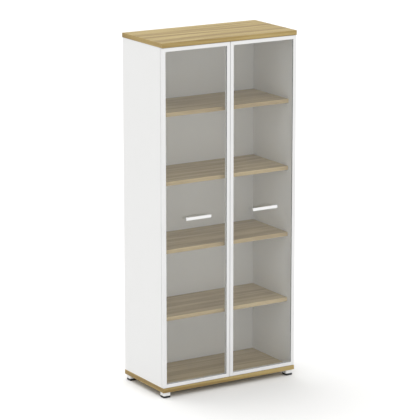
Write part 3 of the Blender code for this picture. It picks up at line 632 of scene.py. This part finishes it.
def foot_shoe(corner):
    node = "foot_pad_" + corner
    low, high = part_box(node)
    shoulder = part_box("foot_sleeve_" + corner)[0].z - GAP
    bm = slab(low, (high.x, high.y, shoulder))
    rounded(bm, upright_edges(bm), CORNER, CORNER_SEGMENTS)
    rounded(bm, rim_edges(bm, low.z), SHOE_EDGE, segments=5)
    sole = face_at(bm, low.z)
    bmesh.ops.inset_individual(bm, faces=[sole], thickness=SOLE_RIM)
    bmesh.ops.translate(bm, vec=(0, 0, SOLE_RECESS), verts=sole.verts)
    plug = face_at(bm, shoulder)
    bmesh.ops.inset_individual(bm, faces=[plug], thickness=WALL + GAP)
    bmesh.ops.translate(bm, vec=(0, 0, high.z - shoulder), verts=plug.verts)
    return set_down("shoe_" + corner, bm, "pad_" + corner, black_plastic, node)


corners = ["front_left", "front_right", "back_left", "back_right"]
for corner in corners:
    print("foot", corner, "faces:", foot_sleeve(corner), foot_shoe(corner))

# %% [markdown]
# ## Shelf pins
# A loose shelf lies on four steel pins. Each has a 5 mm shaft that goes into a drilled hole and a
# thicker ledge with a flat on top, so that the board rests on a face and not on a line. The ledge
# is a short cylinder, and bisect_plane cuts the flat. The shaft is a second cylinder of its own, as
# nothing shows where the two meet.

# %% Turned pins with a flat
PIN_SHAFT = 0.0025
PIN_LEDGE = 0.0045
PIN_EDGE = 0.0006
QUARTER_TURN = math.pi / 2


def shelf_pin(name):
    low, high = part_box(name)
    if low.x < 0:
        outward, tail, nose = -1, low.x, high.x
        board_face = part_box("side_panel_left")[1].x
    else:
        outward, tail, nose = 1, high.x, low.x
        board_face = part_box("side_panel_right")[0].x
    start = board_face - outward * GAP
    axis = Vector((0, (low.y + high.y) / 2, low.z + PIN_LEDGE))
    ledge = abs(nose - start)
    bm = bmesh.new()
    bmesh.ops.create_cone(bm, cap_ends=True, segments=40, radius1=PIN_LEDGE, radius2=PIN_LEDGE,
                          depth=ledge)
    rounded(bm, rim_edges(bm, ledge / 2), PIN_EDGE, segments=3)
    bmesh.ops.rotate(bm, cent=(0, 0, 0), matrix=Matrix.Rotation(-outward * QUARTER_TURN, 3, "Y"),
                     verts=bm.verts)
    cut = bmesh.ops.bisect_plane(bm, geom=bm.verts[:] + bm.edges[:] + bm.faces[:], clear_outer=True,
                                 plane_co=(0, 0, high.z - axis.z), plane_no=(0, 0, 1))
    rim = [item for item in cut["geom_cut"] if isinstance(item, bmesh.types.BMEdge)]
    bmesh.ops.holes_fill(bm, edges=rim)
    bmesh.ops.translate(bm, vec=axis + Vector(((start + nose) / 2, 0, 0)), verts=bm.verts)
    centre = axis + Vector(((start + tail) / 2, 0, 0))
    turn = Matrix.Translation(centre) @ Matrix.Rotation(QUARTER_TURN, 4, "Y")
    bmesh.ops.create_cone(bm, cap_ends=True, segments=32, radius1=PIN_SHAFT, radius2=PIN_SHAFT,
                          depth=abs(tail - start), matrix=turn)
    return set_down("steel_" + name, bm, "root", zinc, name)


pins = [name for name in nodes if name.startswith("shelf_pin_")]
print("pins:", len(pins), "faces in all:", sum(shelf_pin(name) for name in pins))

# %% [markdown]
# ## Pivot bushes
# The doors turn on pins that stand in plastic cups, pressed into the top and the base. A cup is the
# plainest turned piece: half of its section, spun once round the axis. Two cylinders cut from each
# other would give the same cup, with more work at the rim.

# %% Spun cups
CUP_WALL = 0.0022
CUP_FLOOR_SHARE = 0.15


def pivot_bush(name):
    low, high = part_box(name)
    centre = (low + high) / 2
    outer = (high.x - low.x) / 2
    bore = outer - CUP_WALL
    mouth, bottom = (high.z, low.z) if "bottom" in name else (low.z, high.z)
    floor = bottom + (mouth - bottom) * CUP_FLOOR_SHARE
    section = [(0, bottom), (outer, bottom), (outer, mouth), (bore, mouth), (bore, floor), (0, floor)]
    points = [(centre.x + radius, centre.y, height) for radius, height in section]
    bm = bmesh.new()
    spun(bm, centre, (0, 0, 1), points, steps=40)
    return set_down("cup_" + name, bm, "root", grey_plastic, name)


bushes = [name for name in nodes if name.startswith("pivot_bush_")]
print("bushes:", len(bushes), "faces in all:", sum(pivot_bush(name) for name in bushes))

# %% [markdown]
# ## Magnetic catch
# Under the top panel a small housing holds two magnets, one for each door. Each magnet pulls
# through two steel strips that stand half a millimetre proud of the plastic. The housing is a
# rounded block, and the strips are a second piece, because they are steel. The striker plate on
# each door keeps its CAD shape and gets the sunk screw that holds it, spun like the handle's screws.

# %% Housing, pole strips and striker screws
STRIP_STAND = 0.0005
STRIP_DEPTH = 0.003
STRIP_HEIGHT = 0.0016
STRIP_OFFSET = 0.003
STRIP_EDGE = 0.0002
HOUSING_EDGE = 0.0012
SUNK_RADIUS = 0.0015
SUNK_SOCKET_RADIUS = 0.0007
SUNK_SOCKET_DEPTH = 0.0007


def catch_housing():
    low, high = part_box("magnetic_catch")
    housing = slab((low.x, low.y + STRIP_STAND, low.z), high)
    rounded(housing, housing.edges[:], HOUSING_EDGE, segments=4)
    return set_down("catch_housing", housing, "root", grey_plastic, "magnetic_catch")


def pole_strips():
    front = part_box("magnetic_catch")[0].y
    plate_low, plate_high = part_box("door_right_striker")
    middle = (plate_low + plate_high) / 2
    size = (plate_high.x - plate_low.x, STRIP_DEPTH, STRIP_HEIGHT)
    strips = bmesh.new()
    for sign in (-1, 1):
        for rise in (-STRIP_OFFSET, STRIP_OFFSET):
            strip = bmesh.ops.create_cube(strips, size=1.0)["verts"]
            centre = (sign * middle.x, front + STRIP_DEPTH / 2, middle.z + rise)
            bmesh.ops.scale(strips, vec=size, verts=strip)
            bmesh.ops.translate(strips, vec=centre, verts=strip)
    rounded(strips, strips.edges[:], STRIP_EDGE, segments=2)
    return set_down("catch_pole_strips", strips, "root", zinc)


def striker_screw(side):
    low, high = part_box(f"door_{side}_striker")
    top = high.y - SKIN
    socket = high.y - SUNK_SOCKET_DEPTH
    section = [(0, socket), (SUNK_SOCKET_RADIUS, socket), (SUNK_SOCKET_RADIUS, top),
               (SUNK_RADIUS, top), (SUNK_RADIUS, low.y), (0, low.y)]
    bm = bmesh.new()
    spun_in_depth(bm, (low + high) / 2, section, steps=24)
    return set_down(f"striker_screw_{side}", bm, f"door_{side}", zinc)


print("catch faces:", catch_housing() + pole_strips())
print("striker screw faces:", striker_screw("left") + striker_screw("right"))

# %% [markdown]
# ## Floor
# The floor is one pale sheet, large enough to fill the camera's whole view, because the camera
# looks down a little. It sends light back as a pale floor does, and the camera alone sees it nearly
# white, by Is Camera Ray. So it renders as a white ground, except where the cabinet keeps light
# from it. A stronger lamp would whiten the floor too, but would burn out the white boards with it.
# The soft darkening under and in front of the base is what makes the cabinet stand on something.

# %% Pale floor
FLOOR_HALF = 45.0
FLOOR_PALE = rgb(0.81, 0.81, 0.81)
FLOOR_CLOUD = rgb(0.79, 0.79, 0.79)
FLOOR_SEEN = rgb(0.86, 0.86, 0.852)
FLOOR_CLOUDS_PER_METRE = 0.7


def studio_floor():
    bm = bmesh.new()
    bmesh.ops.create_grid(bm, x_segments=1, y_segments=1, size=FLOOR_HALF)
    mesh = bpy.data.meshes.new("studio_floor")
    bm.to_mesh(mesh)
    bm.free()
    floor = bpy.data.objects.new("studio_floor", mesh)
    bpy.context.scene.collection.objects.link(floor)
    coat = Coat("pale_floor")
    cloud = coat.noise(coat.place, scale=FLOOR_CLOUDS_PER_METRE, detail=2.0)
    colour = coat.either(cloud, FLOOR_PALE, FLOOR_CLOUD)
    straight = coat.node("ShaderNodeLightPath", outlet="Is Camera Ray")
    colour = coat.either(straight, colour, FLOOR_SEEN)
    mesh.materials.append(coat.finish(Base_Color=colour, Roughness=0.9, Specular_IOR_Level=0.0))


studio_floor()
print("floor half width:", FLOOR_HALF)

# %% [markdown]
# ## Light
# The light is a white room: an even glow from all round and two very broad lamps. The strong one
# hangs overhead, a little behind and to the left: it makes the top the brightest face and throws
# the soft shadow forward. The weak one shines from above the viewer through the panes, or else the
# shelves, which see little of the room, would turn much darker than the wall behind them. The glow
# is a little under full strength, so that white boards stay below pure white. The camera, and rays
# that bounce off metal or meet glass, see the room at full white.

# %% Room glow and broad lamps
ROOM_GLOW = 0.86
LAMP_SPREAD = math.radians(45)
LAMPS = {
    "overhead_lamp": (1.22, Vector((-0.10, 0.30, 0.95))),
    "front_lamp": (0.46, Vector((-0.12, -0.66, 0.74))),
}


def room_light():
    world = bpy.data.worlds.new("white_room")
    bpy.context.scene.world = world
    room = Bench(world)
    seen = room.node("ShaderNodeLightPath", outlet="Is Camera Ray")
    for ray in ("Is Glossy Ray", "Is Transmission Ray"):
        seen = room.sum_of("MAXIMUM", seen, room.node("ShaderNodeLightPath", outlet=ray))
    glow = room.tree.nodes["Background"]
    room.put(glow.inputs["Color"], rgb(1.0, 1.0, 1.0))
    room.put(glow.inputs["Strength"], ROOM_GLOW + (1 - ROOM_GLOW) * seen)


def broad_lamp(name, strength, shines_from):
    data = bpy.data.lights.new(name, "SUN")
    data.energy = strength
    data.angle = LAMP_SPREAD
    lamp = bpy.data.objects.new(name, data)
    bpy.context.scene.collection.objects.link(lamp)
    lamp.rotation_euler = shines_from.to_track_quat("Z", "Y").to_euler()


room_light()
for name, (strength, shines_from) in LAMPS.items():
    broad_lamp(name, strength, shines_from)
print("glow", ROOM_GLOW, "lamps", {name: lamp[0] for name, lamp in LAMPS.items()})

# %% [markdown]
# ## Camera
# The photograph was taken from the left and a little above, far away with a long lens: lines that
# run away from the viewer hardly come together. The place, aim and lens below put the cabinet's
# corners where the photograph has them, to within a few pixels of 420.

# %% The photograph's view
CAMERA_PLACE = Vector((-6.6911, -10.9116, 4.0333))
CAMERA_AIM = Vector((-0.0022, 0.0056, 0.9630))
LENS = 204.86
SENSOR = 36.0
FARTHEST = 200.0


def photo_camera():
    data = bpy.data.cameras.new("photo_view")
    data.sensor_width = SENSOR
    data.lens = LENS
    data.clip_end = FARTHEST
    camera = bpy.data.objects.new("photo_view", data)
    bpy.context.scene.collection.objects.link(camera)
    camera.location = CAMERA_PLACE
    camera.rotation_euler = (CAMERA_AIM - CAMERA_PLACE).to_track_quat("-Z", "Y").to_euler()
    bpy.context.scene.camera = camera


photo_camera()
bpy.context.scene.view_settings.view_transform = "Standard"
print("lens", LENS, "mm from", round((CAMERA_AIM - CAMERA_PLACE).length, 2), "m")
